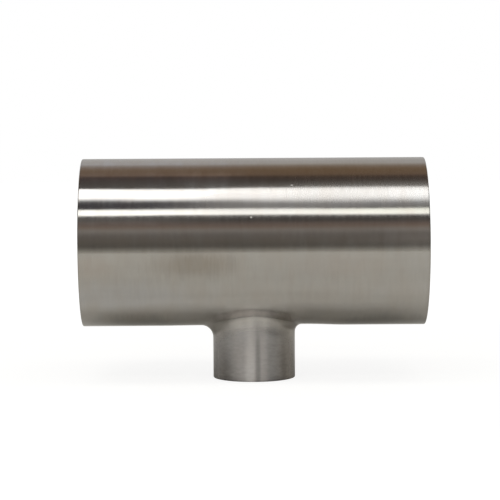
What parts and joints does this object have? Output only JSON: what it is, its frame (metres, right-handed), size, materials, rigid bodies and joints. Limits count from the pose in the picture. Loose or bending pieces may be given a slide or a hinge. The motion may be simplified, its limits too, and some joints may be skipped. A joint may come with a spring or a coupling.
{
  "type": "reducing weld tee",
  "caption": "Reducing tee for butt welding: a straight satin steel run tube with a smaller, short branch pulled out of its middle. All ends are plain and square.",
  "frame": {"origin": "the point where the centre lines of the run and the branch cross", "axes": "X lies along the run, and -Z points down the branch, out of its end. Y is square to both. The tee stands on the branch's end, as it does in the picture."},
  "size_m": [0.104, 0.051, 0.067],
  "materials": {
    "satin_steel": "satin, with a fine grain that runs round each tube"
  },
  "bodies": {
    "root": {"tee_body": "satin_steel"}
  },
  "joints": []
}
